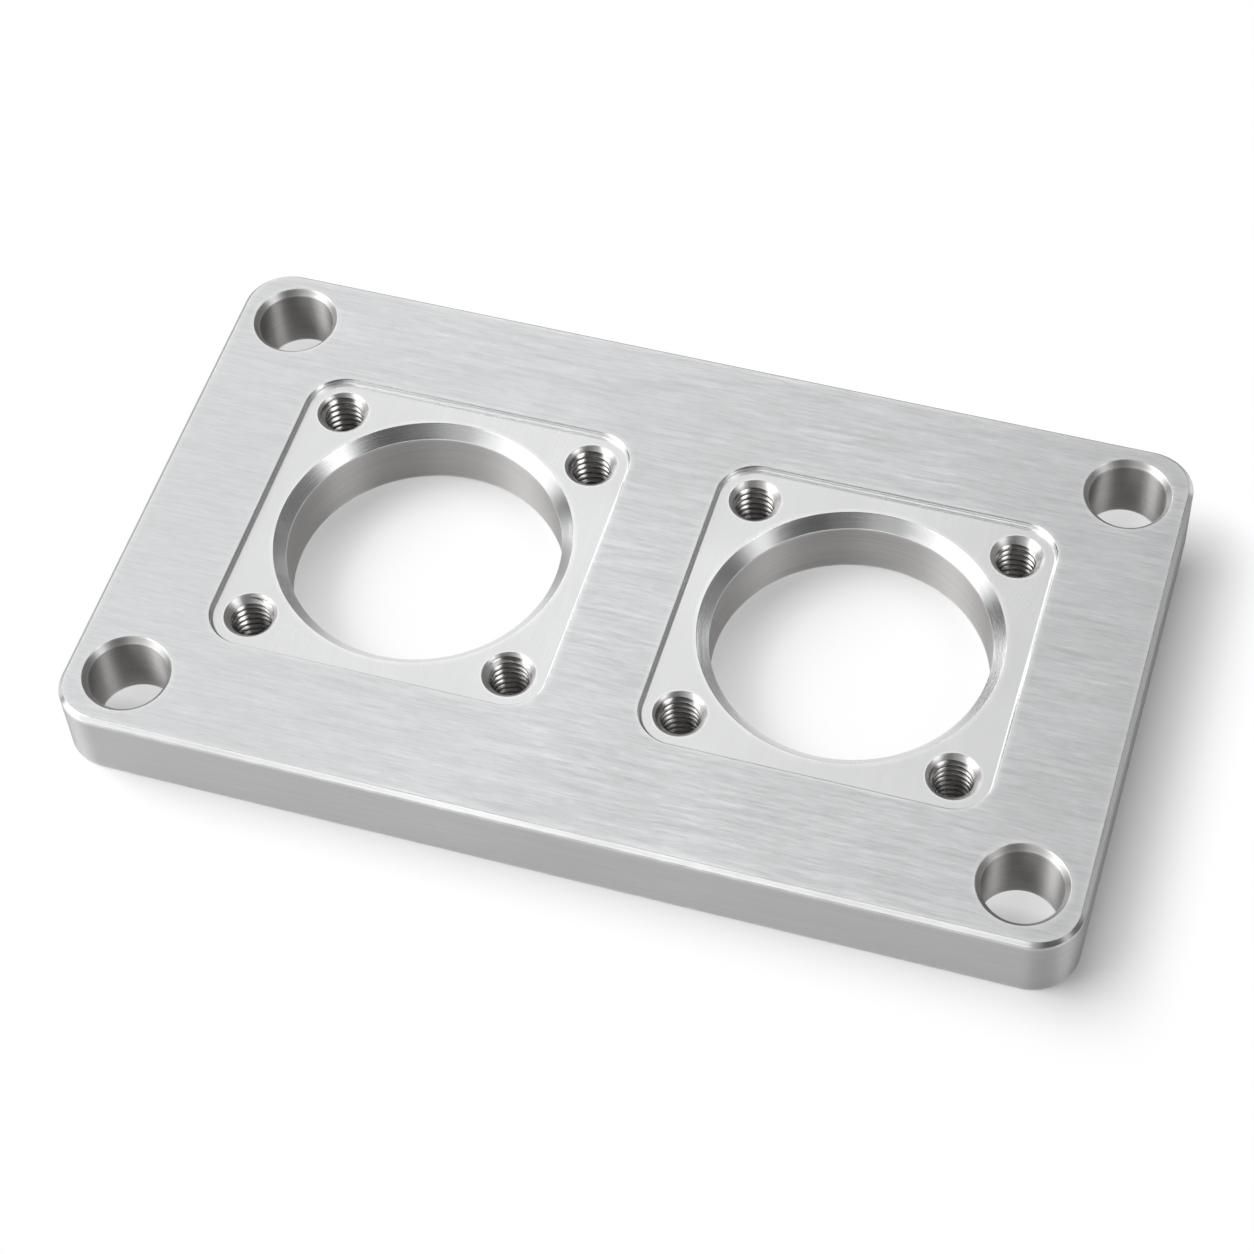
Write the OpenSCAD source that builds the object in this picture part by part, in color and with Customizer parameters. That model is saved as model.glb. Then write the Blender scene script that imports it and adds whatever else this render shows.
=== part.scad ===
// Connector panel: one machined aluminium plate. Two shallow square pockets sit side by
// side in its top face, each with a large chamfered bore and four tapped holes for a
// square connector flange, and four plain chamfered holes in the corners hold the panel.
// Millimetres. +Z is up, the flat back lies on z = 0 and the origin is at its centre.

/* [Plate] */
// Overall length, along X
plate_length = 170; // [150:1:240]
// Overall width, along Y
plate_width = 100; // [88:1:160]
// Overall thickness, along Z
plate_thick = 13.5; // [8:0.5:30]
// Radius of the four outer corners
corner_radius = 8; // [2:0.5:14]
// Chamfer round the top edge
top_chamfer = 0.8; // [0.2:0.1:2]
// Small break round the back edge
back_edge_break = 0.3; // [0.1:0.1:1]

/* [Corner holes] */
// Diameter of each plain corner hole
corner_hole_dia = 13; // [6:0.5:16]
// Chamfer at both ends of each corner hole
corner_hole_chamfer = 0.9; // [0.3:0.1:2]
// Centre of a corner hole from the end of the plate
corner_hole_inset_x = 10.5; // [9.5:0.5:16]
// Centre of a corner hole from the long side of the plate
corner_hole_inset_y = 10.5; // [9.5:0.5:16]

/* [Pockets] */
// Distance between the centres of the two pockets
pocket_pitch = 74; // [62:1:82]
// Side of each square pocket
pocket_side = 58; // [56:1:62]
// Depth of each pocket below the top face
pocket_depth = 1; // [0.6:0.1:3]
// Radius of the pocket corners, seen from above
pocket_corner_radius = 6.5; // [2:0.5:10]
// Fillet where the pocket wall meets its floor
pocket_floor_fillet = 0.4; // [0.1:0.05:0.5]
// Small break round the mouth of the pocket
pocket_edge_break = 0.25; // [0.1:0.05:0.4]

/* [Bores] */
// Diameter of the large bore in each pocket
bore_dia = 46.5; // [30:0.5:50]
// Chamfer where the bore meets the pocket floor
bore_chamfer = 2; // [0.5:0.1:3]

/* [Tapped holes] */
// Side of the square on which the four tapped holes lie
tap_spacing = 45; // [43:0.5:47]
// Drilled diameter of a tapped hole, inside its thread
tap_drill_dia = 6.5; // [5:0.1:7.5]
// Diameter of the countersink on the pocket floor
tap_countersink_dia = 8.8; // [8:0.1:9.5]

/* [Back of the bores] */
// Small break where each bore and tapped hole leaves the back face
back_bore_break = 0.4; // [0.1:0.1:1]

/* [Hidden] */
$fn = 96;
// Cutters reach past the faces that they open by this much
cut_over = top_chamfer;
floor_z = plate_thick - pocket_depth;
corner_hole_x = plate_length / 2 - corner_hole_inset_x;
corner_hole_y = plate_width / 2 - corner_hole_inset_y;
// The fillet stays inside the straight part of its wall
floor_fillet = min(pocket_floor_fillet, 0.9 * (pocket_depth - pocket_edge_break));
metal = "#c3c6c9";

// Section of the plate, from its middle out to half, with both edges broken
module plate_section(half) {
  polygon([
    [0, 0], [half - back_edge_break, 0], [half, back_edge_break],
    [half, plate_thick - top_chamfer], [half - top_chamfer, plate_thick], [0, plate_thick]
  ]);
}

// Section of a pocket cutter, from its middle out to half: flat floor, filleted corner,
// straight wall and a flared mouth that runs on above the top face
module pocket_section(half) {
  mouth_z = plate_thick - pocket_edge_break;
  flare = pocket_edge_break + cut_over;
  union() {
    translate([0, floor_z]) square([half - floor_fillet, floor_fillet]);
    intersection() {
      translate([half - floor_fillet, floor_z + floor_fillet]) circle(r = floor_fillet);
      translate([half - floor_fillet, floor_z]) square([floor_fillet, floor_fillet]);
    }
    polygon([
      [0, floor_z + floor_fillet], [half, floor_z + floor_fillet], [half, mouth_z],
      [half + flare, mouth_z + flare], [0, mouth_z + flare]
    ]);
  }
}

// A section that is drawn from its middle outwards, mirrored and pulled along X
module pull_x(len) {
  translate([-len / 2, 0, 0]) rotate([90, 0, 90]) linear_extrude(height = len) {
    children();
    mirror([1, 0]) children();
  }
}

// The same along Y
module pull_y(len) {
  translate([0, len / 2, 0]) rotate([90, 0, 0]) linear_extrude(height = len) {
    children();
    mirror([1, 0]) children();
  }
}

module at_corners(dx, dy) {
  for (sx = [-1, 1], sy = [-1, 1]) translate([sx * dx, sy * dy, 0]) children();
}

// Rounded plate with broken edges: two crossed bars and a turned piece in each corner
module plate_blank() {
  union() {
    pull_x(plate_length - 2 * corner_radius) plate_section(plate_width / 2);
    pull_y(plate_width - 2 * corner_radius) plate_section(plate_length / 2);
    at_corners(plate_length / 2 - corner_radius, plate_width / 2 - corner_radius)
      rotate_extrude() plate_section(corner_radius);
  }
}

// One square pocket, built in the same way
module pocket_cut() {
  straight = pocket_side / 2 - pocket_corner_radius;
  union() {
    pull_x(2 * straight) pocket_section(pocket_side / 2);
    pull_y(2 * straight) pocket_section(pocket_side / 2);
    at_corners(straight, straight) rotate_extrude() pocket_section(pocket_corner_radius);
  }
}

// A round hole through the plate, chamfered at its top z and again at the back
module hole_cut(dia, rim_dia, top_z, back_break) {
  sink = (rim_dia - dia) / 2;
  translate([0, 0, -cut_over]) cylinder(d = dia, h = plate_thick + 2 * cut_over);
  translate([0, 0, top_z - sink])
    cylinder(d1 = dia, d2 = rim_dia + 2 * cut_over, h = sink + cut_over);
  translate([0, 0, -cut_over])
    cylinder(d1 = dia + 2 * (back_break + cut_over), d2 = dia, h = back_break + cut_over);
}

module connector_seat_cut() {
  pocket_cut();
  hole_cut(bore_dia, bore_dia + 2 * bore_chamfer, floor_z, back_bore_break);
  at_corners(tap_spacing / 2, tap_spacing / 2)
    hole_cut(tap_drill_dia, tap_countersink_dia, floor_z, back_bore_break);
}

module panel() {
  color(metal) difference() {
    plate_blank();
    for (sx = [-1, 1]) translate([sx * pocket_pitch / 2, 0, 0]) connector_seat_cut();
    at_corners(corner_hole_x, corner_hole_y)
      hole_cut(corner_hole_dia, corner_hole_dia + 2 * corner_hole_chamfer, plate_thick,
        corner_hole_chamfer);
  }
}

panel();
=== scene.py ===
import math
from collections import namedtuple

import bpy
import numpy as np
from mathutils import Matrix, Vector
from mathutils.geometry import delaunay_2d_cdt


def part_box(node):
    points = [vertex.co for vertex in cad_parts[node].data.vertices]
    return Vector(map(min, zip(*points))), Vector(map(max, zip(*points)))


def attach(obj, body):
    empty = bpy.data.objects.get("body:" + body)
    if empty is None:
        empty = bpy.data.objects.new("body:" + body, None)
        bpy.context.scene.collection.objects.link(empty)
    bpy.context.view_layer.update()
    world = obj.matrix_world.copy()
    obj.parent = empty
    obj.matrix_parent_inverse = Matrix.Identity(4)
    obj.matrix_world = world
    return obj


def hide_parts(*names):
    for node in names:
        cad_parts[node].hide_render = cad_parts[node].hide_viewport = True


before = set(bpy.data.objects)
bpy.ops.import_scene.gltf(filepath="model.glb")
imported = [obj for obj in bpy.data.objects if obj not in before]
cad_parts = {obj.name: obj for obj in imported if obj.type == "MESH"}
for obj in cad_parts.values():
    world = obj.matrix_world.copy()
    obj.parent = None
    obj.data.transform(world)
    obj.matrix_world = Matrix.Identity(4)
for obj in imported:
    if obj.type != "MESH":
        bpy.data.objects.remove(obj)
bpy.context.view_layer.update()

# Looks for the connector panel. The one piece, panel_machined, is the plate of the CAD
# source again, built in millimetres as one closed mesh with every edge slightly rounded and
# with real threads in the tapped holes. It is dressed in machined aluminium, whose tone per
# surface paints shade and highlights, and whose edge wear is partly a painted highlight.

MM = 0.001

# Sizes of the plate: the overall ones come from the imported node, the rest from the source
plate_length, plate_width, plate_thick = (
    round((far - near) / MM, 2) for near, far in zip(*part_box("panel")))
corner_radius, top_chamfer, back_edge_break = 8, 0.8, 0.3
corner_hole_dia, corner_hole_chamfer = 13, 0.9
corner_hole_inset_x, corner_hole_inset_y = 10.5, 10.5
pocket_pitch, pocket_side, pocket_depth = 74, 58, 1
pocket_corner_radius, pocket_floor_fillet, pocket_edge_break = 6.5, 0.4, 0.25
bore_dia, bore_chamfer = 46.5, 2
tap_spacing, tap_drill_dia, tap_countersink_dia = 45, 6.5, 8.8
back_bore_break = 0.4
floor_z = plate_thick - pocket_depth
corner_hole_x = plate_length / 2 - corner_hole_inset_x
corner_hole_y = plate_width / 2 - corner_hole_inset_y

# Roundings, and the segments of arcs
edge_round = 0.15            # radius on every machined edge
lower_edge_round = 0.4       # radius where the top chamfer meets the sides
arc_steps, wide_arc_steps = 3, 8                        # across a rounding
around_bore, around_hole, around_corner = 72, 36, 20    # in a quarter turn

# Wear, with a painted highlight on it, from full on a rounded edge to none where the margin
# ends
margin = 0.9                 # width of the band along an edge
faint_at, faint = 0.28, 0.2  # this far from an edge, this share of its wear is left
smallest_stretch = 1.5 * edge_round    # a shorter one gets no points in between
long_stretch = 2.4           # only a longer one has a part that is free of wear
rim_wear_and_highlight = 0.8 * edge_round  # half width of the worn line, also a painted highlight, round a countersink
crest_wear_and_highlight = 0.04            # the crests of a thread are worn, and painted brighter as a highlight, to this depth

# Tapped holes
thread_pitch, thread_major = 1.411, 7.94 / 2
thread_crest = 0.403         # flat left by the drill between two grooves
thread_root = 0.176          # flat at the bottom of a groove
thread_steps = 84            # segments round a tapped hole
crest_ease = 0.03            # height of the break between a crest and a groove
cell_radius = 4.95           # a tapped hole is cut in a round cell of this radius
cell_gap = 0.1               # the pocket's floor margin is narrowed to stay off the cells
turn_by_hole, turn_by_pocket = 11, 29    # segments by which the threads start apart
hair = 1e-3                  # a point this close to a cell's rim lies on it

# Numbers of the materials, in the order of their list
TOP, FLOOR, WALL, MOUTH, CHAMFER, SINK, BORE, HOLE, THREAD, SIDE, EDGE, BACK = range(12)


# Materials
class Graph:
    """Short way to add nodes: inputs are given by name, as a value or as another socket."""

    def __init__(self, tree):
        self.tree = tree
        tree.nodes.clear()

    def add(self, kind, out=0, inputs=None, **props):
        node = self.tree.nodes.new(kind)
        for key, value in props.items():
            setattr(node, key, value)
        for key, value in (inputs or {}).items():
            if isinstance(value, bpy.types.NodeSocket):
                self.tree.links.new(value, node.inputs[key])
            else:
                node.inputs[key].default_value = value
        return node.outputs[out] if node.outputs else node

    def math(self, op, a, b=0.0, c=0.0, clamp=False):
        return self.add("ShaderNodeMath", inputs={0: a, 1: b, 2: c}, operation=op,
                        use_clamp=clamp)

    def flat_length(self, x, y):
        squares = self.math("ADD", self.math("MULTIPLY", x, x), self.math("MULTIPLY", y, y))
        return self.math("SQRT", squares)

    def span(self, value, low, high, to_low, to_high):
        return self.add("ShaderNodeMapRange", inputs={
            "Value": value, "From Min": low, "From Max": high,
            "To Min": to_low, "To Max": to_high})

    def noise(self, where, scale=1.0, detail=2.0, rough=0.5):
        return self.add("ShaderNodeTexNoise", inputs={
            "Vector": where, "Scale": scale, "Detail": detail, "Roughness": rough})

    def stretched(self, where, scale, shift=(0, 0, 0)):
        return self.add("ShaderNodeMapping", inputs={
            "Vector": where, "Scale": scale, "Location": shift})

    def mix(self, fac, a, b):
        """Mixes two colours: sockets 6, 7 and 2 are the ones that carry colours."""
        return self.add("ShaderNodeMix", out=2, inputs={0: fac, 6: a, 7: b},
                        data_type="RGBA")


def grey(value, warm=0.0):
    return (value * (1 + warm), value, value * (1 - warm), 1)


# What all the metals share. Noise scales are per metre.
drift_scale, cloud_scale, patch_scale = 60, 34, 260
noise_low, noise_high = 0.3, 0.7         # nearly all of a noise lies between these
fine_share, coarse_share = 0.6, 0.4      # of the fine and coarse tool marks in the grain
grain_low, grain_high = 0.35, 0.65       # darkest and brightest grain
scratch_low, scratch_high = 0.66, 0.74   # specks above these show, faintly and in full
speck_stretch = 0.6                      # specks have the scale of fine marks times this
bands_shift, specks_shift = (3.1, 1.7, 0.4), (9.2, 4.4, 7.7)
cloud_share, cloud_tone, cloud_warmth, cloud_rough = 0.2, 0.93, 0.01, 0.03
scratch_tone, scratch_height = 1.15, -0.8
brightest, worn_highlight_warmth = 0.95, -0.004
worn_highlight_share, worn_highlight_least = 0.7, 0.5        # of the worn colour on an edge, also a painted highlight, and its patches
worn_polish = 0.05                       # by which wear lowers the roughness


def metal(name, light, rough, aniso, stretch, fine, coarse, depth, warm=-0.006,
          contrast=0.06, marks=0.3, swirl=0.0, graze=1.0):
    """Machined aluminium of the brightness light, which some surfaces have darker or brighter
    than the metal's own as painted shade or highlight. fine and coarse are the noise scales of
    its tool marks, per metre and axis, depth is their height in metres, and stretch is the way
    in which they spread a highlight. contrast and marks are the strengths of grain and
    scratches, swirl bends them, and graze dims metal that is seen from the side, a painted
    shade."""
    material = bpy.data.materials.new(name)
    material.use_nodes = True
    g = Graph(material.node_tree)
    where = g.add("ShaderNodeTexCoord", out="Object")
    if swirl:
        drift = g.math("MULTIPLY", g.noise(where, drift_scale), swirl)
        where = g.add("ShaderNodeVectorMath", operation="ADD", inputs={
            0: where, 1: g.add("ShaderNodeCombineXYZ", inputs={0: drift, 1: drift})})

    lines = g.noise(g.stretched(where, fine), detail=3.0, rough=0.65)
    bands = g.noise(g.stretched(where, coarse, bands_shift))
    grain = g.math("ADD", g.math("MULTIPLY", lines, fine_share),
                   g.math("MULTIPLY", bands, coarse_share))
    speck_scale = [v * speck_stretch for v in fine]
    specks = g.noise(g.stretched(where, speck_scale, specks_shift), detail=1.0)
    scratches = g.span(specks, scratch_low, scratch_high, 0.0, marks)
    clouds = g.noise(where, cloud_scale, detail=3.0, rough=0.55)
    # Edge wear: partly the real wear of the edges, partly a painted highlight along them
    near_edge = g.add("ShaderNodeAttribute", out="Fac", attribute_name="edge_wear_and_highlight")
    patches = g.span(g.noise(where, patch_scale), noise_low, noise_high, worn_highlight_least, 1.0)
    worn_and_highlight = g.math("MULTIPLY", near_edge, patches, clamp=True)

    colour = g.mix(g.span(grain, grain_low, grain_high, 0.0, 1.0),
                   grey(light * (1 - contrast), warm), grey(light * (1 + contrast), warm))
    colour = g.mix(g.span(clouds, noise_low, noise_high, 0.0, cloud_share), colour,
                   grey(light * cloud_tone, warm + cloud_warmth))
    colour = g.mix(scratches, colour, grey(min(brightest, light * scratch_tone), warm))
    colour = g.mix(g.math("MULTIPLY", worn_and_highlight, worn_highlight_share), colour,
                   grey(brightest, worn_highlight_warmth))

    roughness = g.span(grain, noise_low, noise_high, rough + contrast, rough - contrast)
    roughness = g.math("ADD", roughness, g.span(clouds, noise_low, noise_high,
                                                -cloud_rough, cloud_rough))
    roughness = g.math("SUBTRACT", roughness, g.math("MULTIPLY", worn_and_highlight, worn_polish),
                       clamp=True)

    height = g.math("ADD", grain, g.math("MULTIPLY", scratches, scratch_height))
    normal = g.add("ShaderNodeBump", inputs={
        "Strength": 1.0, "Distance": depth, "Height": height})
    tangent = g.add("ShaderNodeCombineXYZ", inputs=dict(enumerate(map(float, stretch))))
    shader = g.add("ShaderNodeBsdfPrincipled", inputs={
        "Base Color": colour, "Metallic": 1.0, "Roughness": roughness,
        "Anisotropic": aniso, "Specular Tint": grey(graze), "Normal": normal,
        "Tangent": tangent})
    g.add("ShaderNodeOutputMaterial", inputs={"Surface": shader})
    return material


# Directions of stretch, and the scales of tool marks that more than one metal has
across, upright = (0, 1, 0), (0, 0, 1)
along_x, along_y = (380, 5600, 5600), (2600, 60, 2600)
turned, turned_bands = (60, 60, 9000), (40, 40, 2500)

# One aluminium throughout, in tones per surface: the darker, warmer countersink, bore, hole
# and thread metals paint the shade in these openings, the darker side metal and the graze of
# the side and edge metals paint shade on the sides, and the brighter pocket wall and mouth
# paint highlights on them.
materials = [
    metal("top_brushed", light=0.84, rough=0.35, aniso=0.75, stretch=across, fine=along_x,
          coarse=(90, 1700, 1700), depth=3.5e-6, warm=-0.010, contrast=0.082, swirl=0.0012),
    metal("pocket_floor_milled", light=0.845, rough=0.28, aniso=0.0, stretch=(1, 0, 0),
          fine=along_y, coarse=(500, 22, 500), depth=2e-7, contrast=0.012, marks=0.03,
          swirl=0.006),
    # brighter than the top: painted highlight on the pocket walls and their fillets
    metal("pocket_wall_milled", light=0.95, rough=0.36, aniso=0.3, stretch=upright,
          fine=turned, coarse=turned_bands, depth=2.5e-6, contrast=0.05),
    # brighter than the top: painted highlight along the pocket's mouth
    metal("pocket_mouth_cut", light=0.94, rough=0.22, aniso=0.2, stretch=upright,
          fine=turned, coarse=turned_bands, depth=2.5e-6, contrast=0.04),
    metal("bore_chamfer_turned", light=0.80, rough=0.24, aniso=0.6, stretch=upright,
          fine=turned, coarse=turned_bands, depth=2.5e-6),
    # darker and warmer: painted shade in the countersinks and the chamfers of the holes
    metal("countersink_cut", light=0.60, rough=0.42, aniso=0.6, stretch=upright,
          fine=turned, coarse=turned_bands, depth=2.5e-6, warm=0.020, contrast=0.05),
    # darker and warmer: painted shade in the bores
    metal("bore_turned", light=0.51, rough=0.50, aniso=0.95, stretch=upright, fine=turned,
          coarse=(50, 50, 1600), depth=4e-6, warm=0.014, contrast=0.07, marks=0.5),
    # darker and warmer: painted shade in the corner holes
    metal("hole_drilled", light=0.54, rough=0.55, aniso=0.98, stretch=upright, fine=turned,
          coarse=(60, 60, 1800), depth=5e-6, warm=0.014, contrast=0.08, marks=0.5),
    # darkest and warmest: painted shade in the threads
    metal("thread_cut", light=0.42, rough=0.22, aniso=0.4, stretch=upright,
          fine=(200, 200, 12000), coarse=(90, 90, 3000), depth=4e-6, warm=0.035,
          contrast=0.08),
    # darker, and dimmed at a graze: painted shade on the sides
    metal("side_milled", light=0.57, rough=0.48, aniso=0.93, stretch=upright,
          fine=(160, 160, 5200), coarse=(30, 30, 1400), depth=3e-6, warm=0.002,
          contrast=0.04, graze=0.35),
    # dimmed at a graze: painted shade on the edge chamfers
    metal("edge_chamfer", light=0.80, rough=0.21, aniso=0.2, stretch=upright,
          fine=(90, 90, 5200), coarse=(60, 60, 900), depth=2e-6, contrast=0.05, graze=0.3),
    metal("back_brushed", light=0.78, rough=0.34, aniso=0.5, stretch=across, fine=along_x,
          coarse=(45, 1500, 1500), depth=2.5e-6, contrast=0.05, swirl=0.0012),
]


# Mesh of the plate
class Skin:
    """Points with exact normals and edge wear, also a painted highlight, and faces with a
    material each.
    """

    def __init__(self):
        self.co, self.no, self.wear = [], [], []
        self.faces, self.mats, self.corner_normals = [], [], []

    def points(self, co, no, wear):
        start = len(self.co)
        self.co += [tuple(c) for c in co]
        self.no += [tuple(n) for n in no]
        self.wear += list(wear)
        return list(range(start, len(self.co)))

    def face(self, corners, mat, normals=None):
        """Adds a face. Without normals it is turned to face as its points do."""
        if normals is None:
            a, b, c = (np.array(self.co[i]) for i in corners[:3])
            facing = np.cross(b - a, c - a) @ sum(np.array(self.no[i]) for i in corners)
            if facing < 0:
                corners = corners[::-1]
            normals = [self.no[i] for i in corners]
        self.faces.append(list(corners))
        self.mats.append(mat)
        self.corner_normals += [tuple(n) for n in normals]

    def band(self, a, b, mat):
        """Closed strip between the rings a and b."""
        for i in range(len(a)):
            j = (i + 1) % len(a)
            self.face([a[i], a[j], b[j], b[i]], mat)

    def flat(self, outer, holes, mat):
        """Flat face inside the ring outer, with the rings in holes left open."""
        rings = [outer] + holes
        ids = [i for ring in rings for i in ring]
        co = [Vector(self.co[i][:2]) for i in ids]
        edges, start = [], 0
        for ring in rings:
            n = len(ring)
            edges += [(start + k, start + (k + 1) % n) for k in range(n)]
            start += n
        flat_co, _, faces, origin, _, _ = delaunay_2d_cdt(co, edges, [], 0, 1e-7)
        hulls = [np.array([self.co[i][:2] for i in ring]) for ring in rings]

        def inside(p, hull):
            edge, to_p = np.roll(hull, -1, 0) - hull, p - hull
            side = edge[:, 0] * to_p[:, 1] - edge[:, 1] * to_p[:, 0]
            return np.all(side > 0) or np.all(side < 0)

        for tri in faces:
            middle = np.mean([flat_co[i] for i in tri], axis=0)
            if inside(middle, hulls[0]) and not any(inside(middle, h) for h in hulls[1:]):
                self.face([ids[origin[i][0]] for i in tri], mat)

    def to_object(self, name):
        mesh = bpy.data.meshes.new(name)
        mesh.from_pydata([(x * MM, y * MM, z * MM) for x, y, z in self.co], [], self.faces)
        for m in materials:
            mesh.materials.append(m)
        mesh.polygons.foreach_set("material_index", self.mats)
        mesh.polygons.foreach_set("use_smooth", [True] * len(self.faces))
        # edge wear, which the metals also turn into a painted highlight
        worn_and_highlight = mesh.attributes.new("edge_wear_and_highlight", "FLOAT", "POINT")
        worn_and_highlight.data.foreach_set("value", self.wear)
        mesh.normals_split_custom_set(self.corner_normals)
        mesh.update()
        return linked_object(name, mesh)


def linked_object(name, data):
    obj = bpy.data.objects.new(name, data)
    bpy.context.scene.collection.objects.link(obj)
    return obj


def round_outline(cx, cy, steps):
    """Circle to sweep a section round: its centre once per step, and its directions."""
    a = np.arange(4 * steps) * (math.pi / 2 / steps)
    way = np.stack([np.cos(a), np.sin(a)], 1)
    return np.tile([cx, cy], (len(a), 1)).astype(float), way


def square_outline(cx, cy, half_x, half_y, radius, steps):
    """Rounded rectangle to sweep a section round, as the centres of its corners' arcs and
    the directions from these: its outline lies at the offset radius."""
    starts, ways = [], []
    for k, (sx, sy) in enumerate([(1, 1), (-1, 1), (-1, -1), (1, -1)]):
        a = np.arange(steps + 1) * (math.pi / 2 / steps) + k * math.pi / 2
        way = np.stack([np.cos(a), np.sin(a)], 1)
        centre = [cx + sx * (half_x - radius), cy + sy * (half_y - radius)]
        starts.append(np.tile(centre, (len(a), 1)))
        ways.append(way)
    return np.concatenate(starts), np.concatenate(ways)


# One point of a section, with its normal, its wear and painted highlight, and the material
# of the next stretch
Row = namedtuple("Row", "offset z out up wear mat")


def wear_and_highlight_marks(length, at_start, at_end):
    """Wear and its painted highlight along a straight stretch between two edges, by the
    distance from its start.
    """
    if length < margin:
        return {length / 2: 0.5 * max(at_start, at_end)}
    marks = {faint_at: faint * at_start, length - faint_at: faint * at_end}
    if length > long_stretch:
        marks.update({margin: 0.0, length - margin: 0.0})
    return marks


def profile(points, mats, air_side, radii=None):
    """Section through a surface, as a list of Row. points are (offset, z), mats the material
    of each stretch between them, and air_side is 1 where the air is on the left. Each corner
    is rounded by edge_round, or by what radii has for its number."""
    p = [np.array(q, float) for q in points]
    along = [(b - a) / np.linalg.norm(b - a) for a, b in zip(p, p[1:])]
    air = [air_side * np.array([-v[1], v[0]]) for v in along]
    rows = [Row(*p[0], *air[0], 0.0, mats[0])]
    for i in range(1, len(p) - 1):
        before, after = along[i - 1], along[i]
        out, up = air[i - 1]
        radius = (radii or {}).get(i, edge_round)
        steps = arc_steps if radius <= edge_round else wide_arc_steps
        cross = before[0] * after[1] - before[1] * after[0]
        turn = math.atan2(cross, float(before @ after))
        convex = cross * air_side < 0
        side = 1 if convex else -1
        start = p[i] - before * radius * math.tan(abs(turn) / 2)
        centre = start - air[i - 1] * radius * side
        for k in range(steps + 1):
            a = turn * k / steps
            n = np.array([out * math.cos(a) - up * math.sin(a),
                          out * math.sin(a) + up * math.cos(a)])
            mat = mats[i] if k == steps or mats[i] == SIDE else mats[i - 1]
            rows.append(Row(*(centre + n * radius * side), *n, 1.0 if convex else 0.0, mat))
    rows.append(Row(*p[-1], *air[-1], 0.0, mats[-1]))
    full = []
    for a, b in zip(rows, rows[1:]):
        full.append(a)
        length = math.hypot(b.offset - a.offset, b.z - a.z)
        if length > smallest_stretch:
            for s, wear in sorted(wear_and_highlight_marks(length, a.wear, b.wear).items()):
                t = s / length
                full.append(a._replace(offset=a.offset * (1 - t) + b.offset * t,
                                       z=a.z * (1 - t) + b.z * t, wear=wear))
    return full + [rows[-1]]


def sweep(skin, outline, rows, base=0.0):
    """Sweeps a section round an outline, its offsets counted from base, and returns its first
    and its last ring."""
    start, way = outline
    rings = []
    for row in rows:
        co = np.column_stack([start + (row.offset + base) * way, np.full(len(way), row.z)])
        no = np.column_stack([row.out * way, np.full(len(way), row.up)])
        rings.append(skin.points(co, no, [row.wear] * len(way)))
    for a, b, row in zip(rings, rings[1:], rows):
        skin.band(a, b, row.mat)
    return rings[0], rings[-1]


def hole_section(radius, rim, top_z, back_break, mats):
    """Through hole with a chamfer out to rim at top_z and a break at the back."""
    return profile(
        [(rim + margin, top_z), (rim, top_z), (radius, top_z - (rim - radius)),
         (radius, back_break), (radius + back_break, 0), (radius + back_break + margin, 0)],
        mats, air_side=-1)


# Tapped hole
def closed_solid(name, co, faces, mats):
    mesh = bpy.data.meshes.new(name)
    mesh.from_pydata([tuple(c) for c in co], [], faces)
    for m in materials:
        mesh.materials.append(m)
    mesh.polygons.foreach_set("material_index", mats)
    return linked_object(name, mesh)


def turned_solid(name, section, mats):
    """Solid of revolution: section runs from axis to axis, downwards, as (radius, z)."""
    n = thread_steps
    a = np.arange(n) * 2 * math.pi / n
    co = [(0, 0, section[0][1])]
    for r, z in section[1:-1]:
        co += [(r * math.cos(t), r * math.sin(t), z) for t in a]
    co.append((0, 0, section[-1][1]))
    faces, face_mats = [], []
    rings = len(section) - 2
    last = 1 + (rings - 1) * n
    for i in range(n):
        j = (i + 1) % n
        faces.append((0, 1 + i, 1 + j))
        for k in range(rings - 1):
            b = 1 + k * n
            faces.append((b + i, b + n + i, b + n + j, b + j))
        faces.append((last + j, last + i, len(co) - 1))
        face_mats += mats
    return closed_solid(name, co, faces, face_mats)


def thread_solid(name):
    """What a tap leaves open: one helical solid with 60 degree grooves, right-handed."""
    past_faces, tip = 6, 2       # the solid is longer than the plate, with pointed ends
    first_z = -2.2 * thread_pitch
    n = thread_steps
    drill, half = tap_drill_dia / 2, thread_crest / 2
    foot = 0.6 * crest_ease      # how far the break reaches along the thread
    slope = (thread_pitch - thread_crest - thread_root) / 2
    turn = [(-half + crest_ease, drill), (half - crest_ease, drill),
            (half + foot, drill + crest_ease), (half + slope, thread_major),
            (half + slope + thread_root, thread_major),
            (thread_pitch - half - foot, drill + crest_ease)]
    m = len(turn)
    turns = math.ceil((plate_thick + past_faces) / thread_pitch)
    rows = turns * m
    co = [(0, 0, first_z - tip), (0, 0, first_z + (turns + 1) * thread_pitch + tip)]
    for j in range(rows + 1):
        up, r = turn[j % m]
        for i in range(n):
            t = 2 * math.pi * (i + 0.5) / n
            z = first_z + up + (j // m + i / n) * thread_pitch
            co.append((r * math.cos(t), r * math.sin(t), z))

    def at(i, j):
        return 2 + (j + (m if i == n else 0)) * n + i % n

    faces = []
    for i in range(n):
        for j in range(rows if i < n - 1 else rows - m):
            faces.append((at(i, j), at(i + 1, j), at(i + 1, j + 1), at(i, j + 1)))
    low = [at(i, 0) for i in range(n + 1)] + [at(0, j) for j in range(m - 1, -1, -1)]
    high = [at(i, rows) for i in range(n)]
    high += [at(n - 1, j) for j in range(rows - 1, rows - m - 1, -1)] + [at(0, rows)]
    faces += [(b, a, 0) for a, b in zip(low, low[1:])]
    faces += [(a, b, 1) for a, b in zip(high, high[1:])]
    return closed_solid(name, co, faces, [THREAD] * len(faces))


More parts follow.
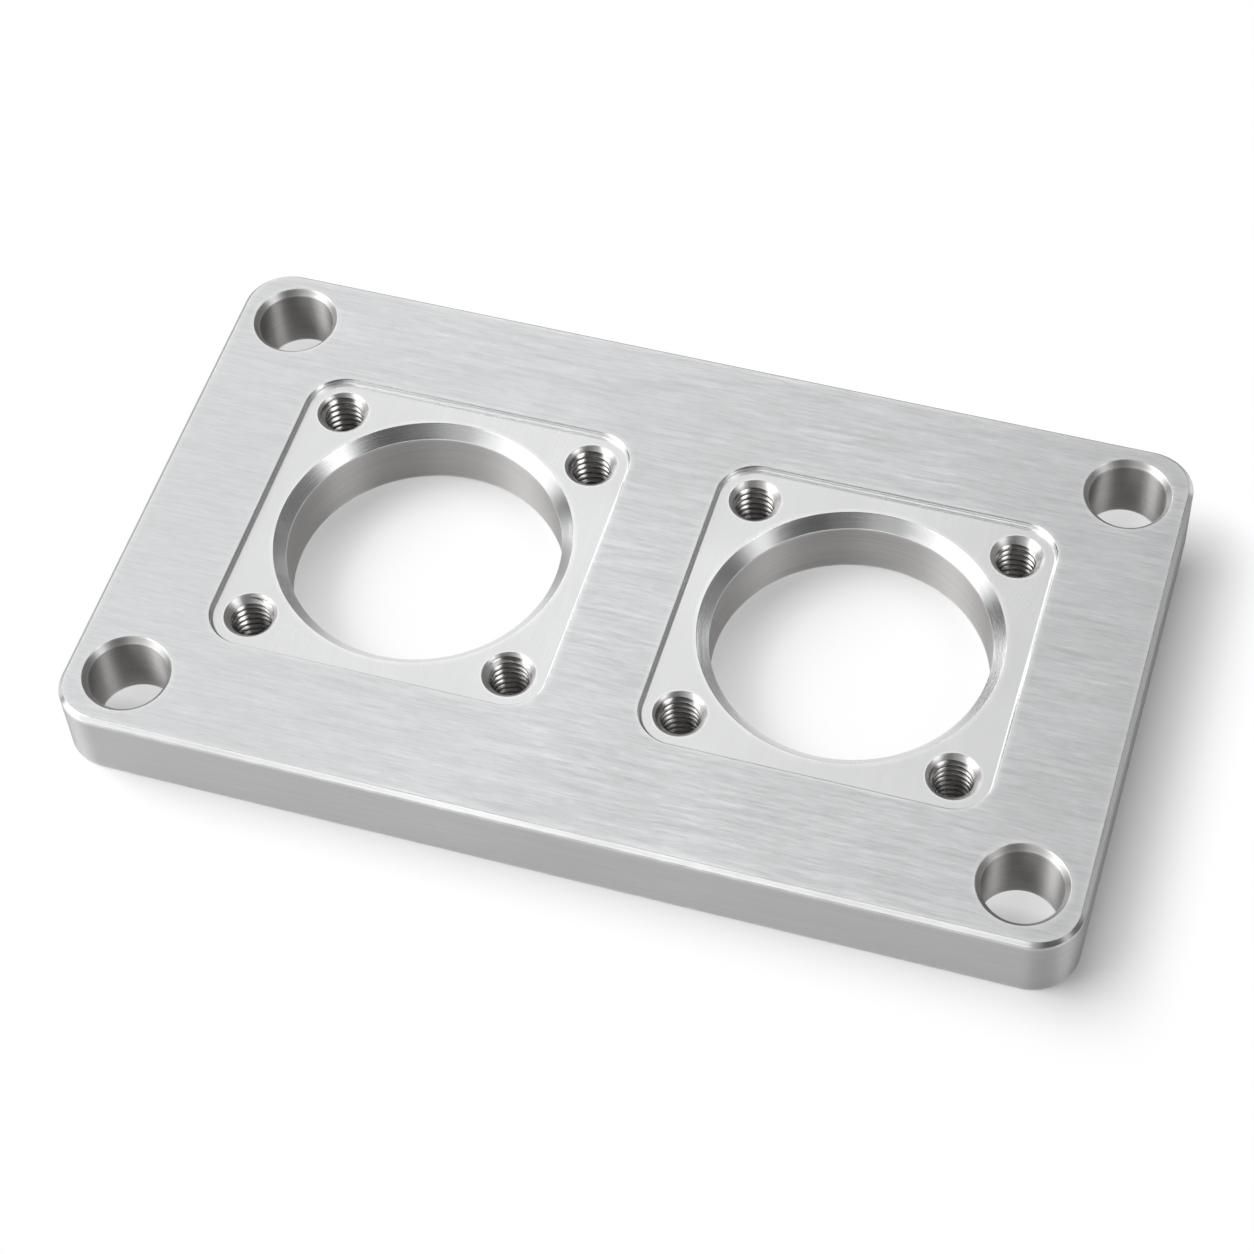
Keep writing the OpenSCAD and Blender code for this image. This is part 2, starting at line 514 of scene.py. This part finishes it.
def tapped_cell():
    """Mesh of a round cell of the plate with one tapped hole cut through it."""
    rim, drill = tap_countersink_dia / 2, tap_drill_dia / 2
    inner = drill - 0.15         # the countersink's cones run on inside the drilled hole
    ease = edge_round / 2        # half the width of the shallow cone that breaks the rim
    reach = 1                    # the cutter stands out of both faces by this much
    cell = turned_solid("cell", [
        (0, floor_z), (cell_radius, floor_z), (cell_radius, 0), (0, 0)],
        [FLOOR, FLOOR, BACK])
    sink = turned_solid("sink", [
        (0, floor_z + reach), (rim + 2 * reach, floor_z + reach),
        (rim + 3 * ease, floor_z + ease), (rim - ease, floor_z - ease),
        (inner, floor_z - (rim - inner)), (inner, back_bore_break + drill - inner),
        (drill + back_bore_break + reach, -reach), (0, -reach)],
        [FLOOR, SINK, SINK, SINK, THREAD, SINK, BACK])
    thread = thread_solid("thread")
    for tool in (sink, thread):
        cut = cell.modifiers.new("cut", "BOOLEAN")
        cut.operation, cut.solver, cut.object = "DIFFERENCE", "MANIFOLD", tool
    graph = bpy.context.evaluated_depsgraph_get()
    mesh = bpy.data.meshes.new_from_object(cell.evaluated_get(graph))
    for obj in (cell, sink, thread):
        bpy.data.objects.remove(obj)
    mesh.polygons.foreach_set("use_smooth", [True] * len(mesh.polygons))
    mesh.set_sharp_from_angle(angle=math.radians(34))
    return mesh


def tapped_hole_wear_and_highlight(radius, z):
    """Wear and painted highlight: full on the countersink's rim, half on the crests of the
    thread.
    """
    if abs(radius - tap_countersink_dia / 2) < rim_wear_and_highlight and z > floor_z - rim_wear_and_highlight:
        return 1.0
    return 0.5 if radius < tap_drill_dia / 2 + crest_wear_and_highlight else 0.0


def add_tapped_hole(skin, mesh, cx, cy, turn_steps):
    """Copies the cell to (cx, cy), turned by whole segments, and returns its two rims."""
    n = thread_steps
    a = 2 * math.pi * turn_steps / n
    spin = np.array([[math.cos(a), -math.sin(a), 0], [math.sin(a), math.cos(a), 0], [0, 0, 1]])
    co = np.array([v.co[:] for v in mesh.vertices])
    radius = np.hypot(co[:, 0], co[:, 1])
    rims = []
    index = {}
    for z, up in ((floor_z, 1), (0, -1)):
        t = np.arange(n) * 2 * math.pi / n
        ring = np.column_stack([cx + cell_radius * np.cos(t), cy + cell_radius * np.sin(t),
                                np.full(n, z)])
        ids = skin.points(ring, [(0, 0, up)] * n, [0.0] * n)
        rims.append(ids)
        on_rim = np.where((radius > cell_radius - hair) & (abs(co[:, 2] - z) < hair))[0]
        for v in on_rim:
            step = round(math.atan2(co[v, 1], co[v, 0]) / (2 * math.pi / n))
            index[int(v)] = ids[(step + turn_steps) % n]
    rest = [v for v in range(len(co)) if v not in index]
    placed = co[rest] @ spin.T + np.array([cx, cy, 0])
    wear = [tapped_hole_wear_and_highlight(radius[v], co[v, 2]) for v in rest]
    index.update(zip(rest, skin.points(placed, [(0, 0, 1)] * len(rest), wear)))
    for f in mesh.polygons:
        vs = list(f.vertices)
        if all(radius[v] > cell_radius - hair for v in vs):
            continue
        up = f.normal.z
        if abs(up) > 0.999:
            normals = [(0, 0, 1 if up > 0 else -1)] * len(vs)
        else:
            normals = [spin @ np.array(mesh.corner_normals[c].vector) for c in f.loop_indices]
        skin.face([index[v] for v in vs], f.material_index, normals)
    return rims


# The whole plate
def add_outer_edge(skin):
    """Sides of the plate with both broken edges. Returns the rings where the top and the
    back face end."""
    c, b = top_chamfer, back_edge_break
    section = profile(
        [(-c - margin, plate_thick), (-c, plate_thick), (0, plate_thick - c), (0, b), (-b, 0),
         (-b - margin, 0)],
        [TOP, EDGE, SIDE, EDGE, BACK], air_side=1, radii={2: lower_edge_round})
    outline = square_outline(0, 0, plate_length / 2, plate_width / 2, corner_radius,
                             around_corner)
    return sweep(skin, outline, section, corner_radius)


def add_corner_hole(skin, cx, cy):
    section = hole_section(corner_hole_dia / 2, corner_hole_dia / 2 + corner_hole_chamfer,
                           plate_thick, corner_hole_chamfer, [TOP, SINK, HOLE, SINK, BACK])
    return sweep(skin, round_outline(cx, cy, around_hole), section)


def add_pocket(skin, cx):
    """Mouth and walls of a pocket. Returns its rings at the top face and on its floor."""
    e, f = pocket_edge_break, pocket_floor_fillet
    section = profile(
        [(e + margin, plate_thick), (e, plate_thick), (0, plate_thick - e), (0, floor_z),
         (-f - margin + cell_gap, floor_z)],
        [TOP, MOUTH, WALL, FLOOR], air_side=-1, radii={3: f})
    outline = square_outline(cx, 0, pocket_side / 2, pocket_side / 2, pocket_corner_radius,
                             around_corner)
    return sweep(skin, outline, section, pocket_corner_radius)


def add_bore(skin, cx):
    section = hole_section(bore_dia / 2, bore_dia / 2 + bore_chamfer, floor_z,
                           back_bore_break, [FLOOR, CHAMFER, BORE, SINK, BACK])
    return sweep(skin, round_outline(cx, 0, around_bore), section)


def add_connector_seat(skin, cell, cx, first_turn):
    """Pocket, bore and tapped holes. Returns the pocket's mouth and the rings at the back."""
    mouth, floor_ring = add_pocket(skin, cx)
    holes = [add_bore(skin, cx)]
    for ty in (-1, 1):
        for tx in (-1, 1):
            turned_by = first_turn + turn_by_hole * (len(holes) - 1)
            holes.append(add_tapped_hole(skin, cell, cx + tx * tap_spacing / 2,
                                         ty * tap_spacing / 2, turned_by))
    skin.flat(floor_ring, [rim for rim, low in holes], FLOOR)
    return mouth, [low for rim, low in holes]


def build_panel():
    skin = Skin()
    outer_top, outer_back = add_outer_edge(skin)
    top_holes, back_holes = [], []
    for sx in (-1, 1):
        for sy in (-1, 1):
            rim, low = add_corner_hole(skin, sx * corner_hole_x, sy * corner_hole_y)
            top_holes.append(rim)
            back_holes.append(low)
    cell = tapped_cell()
    for k, sx in enumerate((-1, 1)):
        mouth, lows = add_connector_seat(skin, cell, sx * pocket_pitch / 2,
                                         turn_by_pocket * k)
        top_holes.append(mouth)
        back_holes += lows
    skin.flat(outer_top, top_holes, TOP)
    skin.flat(outer_back, back_holes, BACK)
    bpy.data.meshes.remove(cell)
    return skin.to_object("panel_machined")


panel = build_panel()
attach(panel, "root")
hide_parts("panel")


# Floor. Its own white hides the shadow, in a share that depends on the place alone: all of
# it away from the plate, none close by, and part of it in the openings, where it paints a lit
# patch and shade. Sizes in metres.
floor_half, floor_drop = 20.0, 0.00002
half_x, half_y = plate_length / 2 * MM, plate_width / 2 * MM
bore_x, hole_y = pocket_pitch / 2 * MM, corner_hole_y * MM
outer_lean = 0.007           # painted light hides the shadow round the plate on the left and back, so it leans to the front and right
outer_fade = 0.017           # and ends this far out
under_inset = 0.0035         # the floor counts as under the plate this far inside its edge
bore_reach = bore_dia / 2 * MM + 0.00125
bore_lean = 0.006            # the painted lit patch in a bore, with painted shade round it, leans to the front and right too
bore_near, bore_far, bore_lit, bore_dim = 0.008, 0.030, 0.85, 0.25
hole_band = 0.0165           # width of the border that has the corner holes
# in a corner hole the floor is painted dim in front and lit behind
hole_front, hole_back = hole_y - 0.0035, hole_y + 0.004
hole_dim, hole_lit = 0.06, 0.6


def white_share(g):
    """Share of white on the floor, from 0 to 1, which in the bores and corner holes paints
    light and shade.
    """
    place = g.add("ShaderNodeTexCoord", out="Object")
    x, y = (g.add("ShaderNodeSeparateXYZ", out=axis, inputs={0: place}) for axis in "XY")

    def past(value, limit):
        return g.math("SUBTRACT", g.math("ABSOLUTE", value), limit)

    def shifted(value, by):
        return g.math("SUBTRACT", value, by)

    past_x = g.math("MAXIMUM", past(shifted(x, outer_lean), half_x - outer_lean), 0.0)
    past_y = g.math("MAXIMUM", past(shifted(y, -outer_lean), half_y - outer_lean), 0.0)
    outside = g.span(g.flat_length(past_x, past_y), 0.0, outer_fade, 0.0, 1.0)

    from_patch = [g.flat_length(shifted(x, cx + bore_lean), shifted(y, -bore_lean))
                  for cx in (-bore_x, bore_x)]
    painted_bore_light = g.math("MULTIPLY",
                     g.math("LESS_THAN", g.flat_length(past(x, bore_x), y), bore_reach),
                     g.span(g.math("MINIMUM", *from_patch), bore_near, bore_far,
                            bore_lit, bore_dim))

    within = g.math("MAXIMUM", past(x, half_x - under_inset), past(y, half_y - under_inset))
    painted_hole_shading = g.span(g.math("WRAP", y, 2 * hole_y, 0.0), hole_front, hole_back,
                         hole_dim, hole_lit)
    painted_hole_light = g.math("MULTIPLY", painted_hole_shading, g.math("GREATER_THAN", within, -hole_band))

    under = g.math("LESS_THAN", within, 0.0)
    return g.math("ADD",
                  g.math("MULTIPLY", under, g.math("MAXIMUM", painted_bore_light, painted_hole_light)),
                  g.math("MULTIPLY", g.math("SUBTRACT", 1.0, under), outside))


def plain_floor():
    z = -floor_drop
    mesh = bpy.data.meshes.new("floor")
    mesh.from_pydata([(-floor_half, -floor_half, z), (floor_half, -floor_half, z),
                      (floor_half, floor_half, z), (-floor_half, floor_half, z)],
                     [], [(0, 1, 2, 3)])
    material = bpy.data.materials.new("floor_white")
    material.use_nodes = True
    g = Graph(material.node_tree)
    matte = g.add("ShaderNodeBsdfDiffuse", inputs={"Color": grey(0.94)})
    white = g.add("ShaderNodeEmission", inputs={"Color": grey(1), "Strength": 1.0})
    ray = g.tree.nodes.new("ShaderNodeLightPath").outputs
    seen = g.math("MAXIMUM", g.math("MAXIMUM", ray["Is Camera Ray"], ray["Is Glossy Ray"]),
                  ray["Is Transmission Ray"])
    share = g.math("MULTIPLY", seen, white_share(g))
    both = g.add("ShaderNodeMixShader", inputs={0: share, 1: matte, 2: white})
    g.add("ShaderNodeOutputMaterial", inputs={"Surface": both})
    mesh.materials.append(material)
    linked_object("floor", mesh)


# Light. Each lobe of the room is a direction, the half angles in degrees at which it starts
# to fade and ends, and a strength, which is below 0 where it darkens.
room_base, room_least = 0.55, 0.1
room_lobes = [
    ((-0.13, 0.57, 0.81), 3, 17, 0.27),          # behind, high: seen in the top face
    ((-0.12, 0.57, 0.81), 4, 28, 0.28),
    ((-0.05, 0.12, 0.99), 6, 16, 0.80),          # overhead
    ((-0.47, 0.81, 0.34), 12, 26, 0.15),         # behind left, low
    ((0.033, -0.373, 0.927), 33.5, 36.7, -0.54),    # above the camera, dark and wide
    ((0.66, -0.52, 0.55), 12, 21, -0.50),        # dark, front right
    ((0.81, -0.17, 0.56), 6, 14, 0.20),          # right
    ((0.40, 0.52, 0.75), 16, 36, -0.46),         # dark, behind right
    ((0.80, 0.52, 0.20), 24, 40, -0.30),
    ((0.17, 0.92, 0.35), 16, 34, -0.45),         # dark, behind and low
    ((0.60, -0.75, 0.15), 14, 32, -0.42),        # dark and low, front right, right and left
    ((0.99, 0.05, 0.10), 8, 20, -0.50),
    ((-0.98, 0.14, 0.14), 10, 22, -0.42),
    ((-0.09, -0.936, 0.335), 14, 18, 0.70),      # front, low: seen in the front chamfers
    ((-0.60, -0.65, 0.45), 14, 25, 0.48),        # front left
    ((-0.87, -0.32, 0.37), 10, 28, 0.80),        # left
    ((-0.592, -0.251, 0.766), 7, 19, 5.00),      # two lamps, left and right
    ((0.637, -0.090, 0.766), 6, 17, 3.00),
    ((-0.68, 0.56, 0.47), 6, 15, 1.80),          # behind left: seen in the pockets' edges
]
key_place, key_size, key_power = (-1.1, 0.12, 0.85), 0.8, 12


def soft_room():
    """World light that changes smoothly with direction."""
    world = bpy.data.worlds.new("soft_room")
    bpy.context.scene.world = world
    world.use_nodes = True
    g = Graph(world.node_tree)
    way = g.add("ShaderNodeTexCoord", out="Generated")
    total = room_base
    for direction, inner, outer, strength in room_lobes:
        toward = g.add("ShaderNodeVectorMath", out="Value", operation="DOT_PRODUCT",
                       inputs={0: way, 1: Vector(direction).normalized()})
        lobe = g.add("ShaderNodeMapRange", interpolation_type="SMOOTHERSTEP", inputs={
            "Value": toward, "From Min": math.cos(math.radians(outer)),
            "From Max": math.cos(math.radians(inner)), "To Min": 0.0, "To Max": strength})
        total = g.math("ADD", total, lobe)
    total = g.math("MAXIMUM", total, room_least)
    light = g.add("ShaderNodeBackground", inputs={"Color": grey(1), "Strength": total})
    g.add("ShaderNodeOutputWorld", inputs={"Surface": light})


def key_lamp():
    """Soft lamp from the left that casts the shadow and isn't mirrored in the metal."""
    lamp = bpy.data.lights.new("key", "AREA")
    lamp.shape, lamp.size, lamp.size_y = "RECTANGLE", key_size, key_size
    lamp.energy = key_power
    obj = linked_object("key", lamp)
    obj.location = key_place
    obj.rotation_euler = (-Vector(key_place)).to_track_quat("-Z", "Y").to_euler()
    obj.visible_camera = False
    obj.visible_glossy = False


# Camera of the photograph, fitted to the plate's edges, holes and pockets. Millimetres and
# degrees, but the two ends of its view are in metres.
camera_place, camera_aim = (105.33, -294.36, 432.71), (1.61, -9.15, 13.70)
camera_roll = -3.749
focal_length, sensor_width = 90.879, 36
clip_near, clip_far = 0.01, 60


def photo_camera():
    place, aim = Vector(camera_place) * MM, Vector(camera_aim) * MM
    roll = math.radians(camera_roll)
    ahead = (aim - place).normalized()
    level = ahead.cross(Vector((0, 0, 1))).normalized()
    upright_way = level.cross(ahead)
    right = math.cos(roll) * level + math.sin(roll) * upright_way
    up = math.cos(roll) * upright_way - math.sin(roll) * level
    lens = bpy.data.cameras.new("camera")
    lens.lens, lens.sensor_width = focal_length, sensor_width
    lens.clip_start, lens.clip_end = clip_near, clip_far
    cam = linked_object("camera", lens)
    turn = Matrix((right, up, -ahead)).transposed().to_4x4()
    cam.matrix_world = Matrix.Translation(place) @ turn
    bpy.context.scene.camera = cam


plain_floor()
soft_room()
key_lamp()
photo_camera()
bpy.context.scene.view_settings.view_transform = "Standard"
